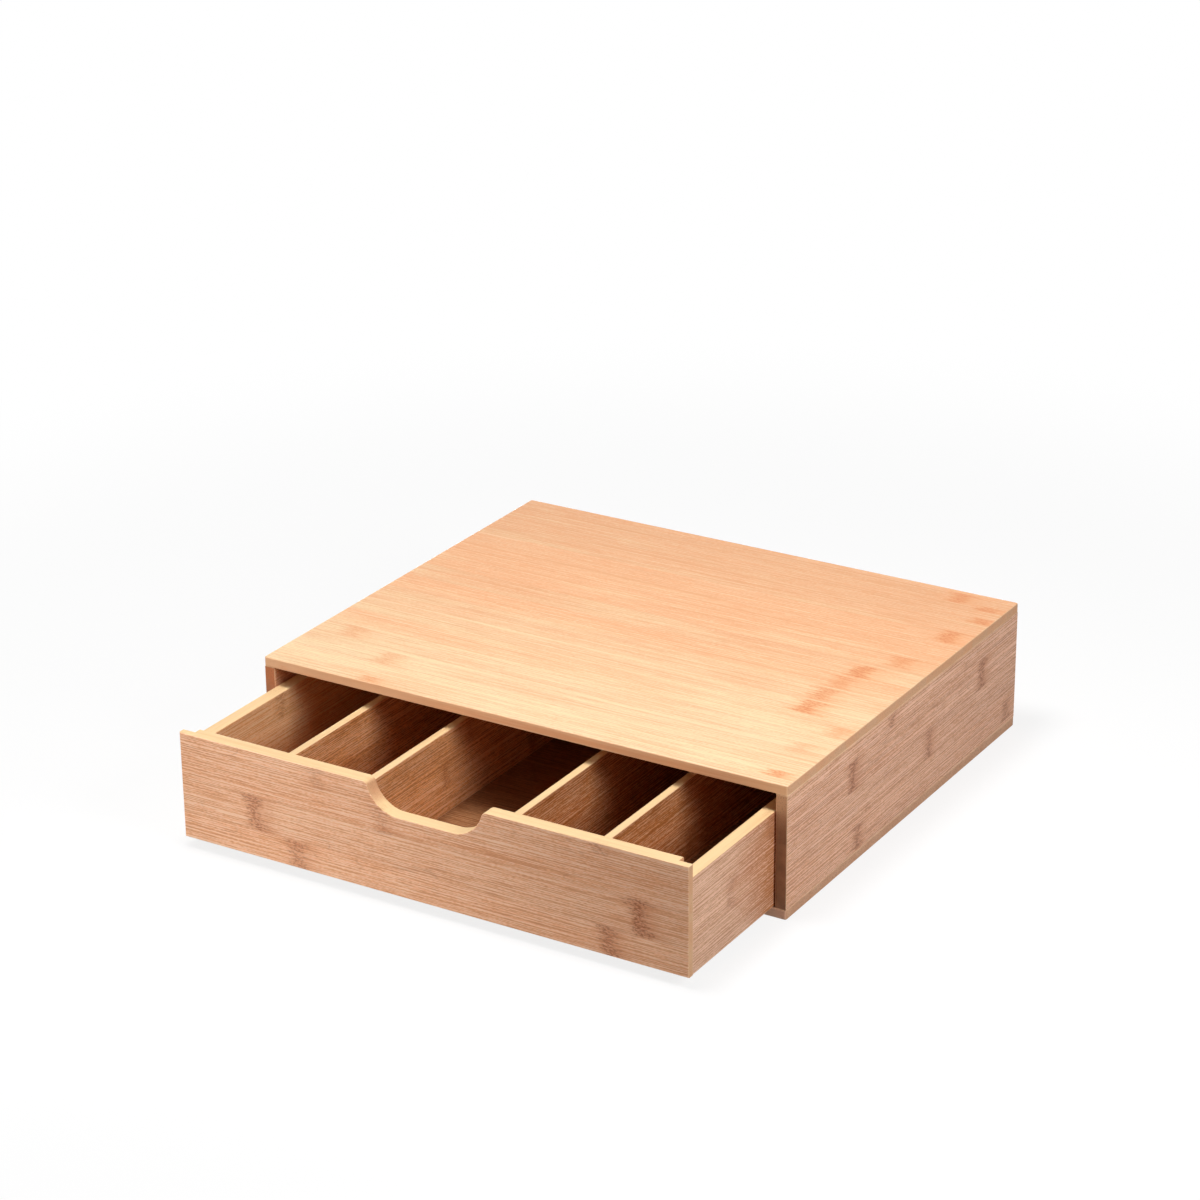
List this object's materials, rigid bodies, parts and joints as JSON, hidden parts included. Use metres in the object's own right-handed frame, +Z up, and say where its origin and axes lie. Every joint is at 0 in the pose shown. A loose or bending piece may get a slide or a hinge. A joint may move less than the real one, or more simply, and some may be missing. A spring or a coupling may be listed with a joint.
{
  "type": "coffee pod box",
  "caption": "Low bamboo box with a flat top and a divided pull-out drawer for coffee pods, with a finger scoop in its front.",
  "frame": {"origin": "middle of the case's underside, the face that it rests on", "axes": "+Z up; the drawer opens towards -Y; +X is to the right seen from the front"},
  "size_m": [0.385, 0.4275, 0.09],
  "materials": {
    "case_bamboo": "bamboo, fine sanded, clear satin lacquer",
    "drawer_bamboo": "bamboo, fine sanded, clear satin lacquer",
    "thin_bamboo": "thin bamboo sheet, sanded",
    "dowel_bamboo": "raw bamboo dowel"
  },
  "bodies": {
    "case": {"bottom_panel": "case_bamboo", "top_panel": "case_bamboo", "left_side_panel": "case_bamboo", "right_side_panel": "case_bamboo", "back_panel": "case_bamboo", "case_dowels": "dowel_bamboo"},
    "drawer": {"drawer_front": "drawer_bamboo", "drawer_left_side": "drawer_bamboo", "drawer_right_side": "drawer_bamboo", "drawer_back": "drawer_bamboo", "drawer_floor": "thin_bamboo", "divider_1": "thin_bamboo", "divider_2": "thin_bamboo", "divider_3": "thin_bamboo", "divider_4": "thin_bamboo", "drawer_dowels": "dowel_bamboo"}
  },
  "joints": [
    {"name": "drawer_slide", "type": "slide", "parent": "case", "child": "drawer", "axis": [0, -1, 0], "range_m": [-0.1025, 0.136]}
  ]
}
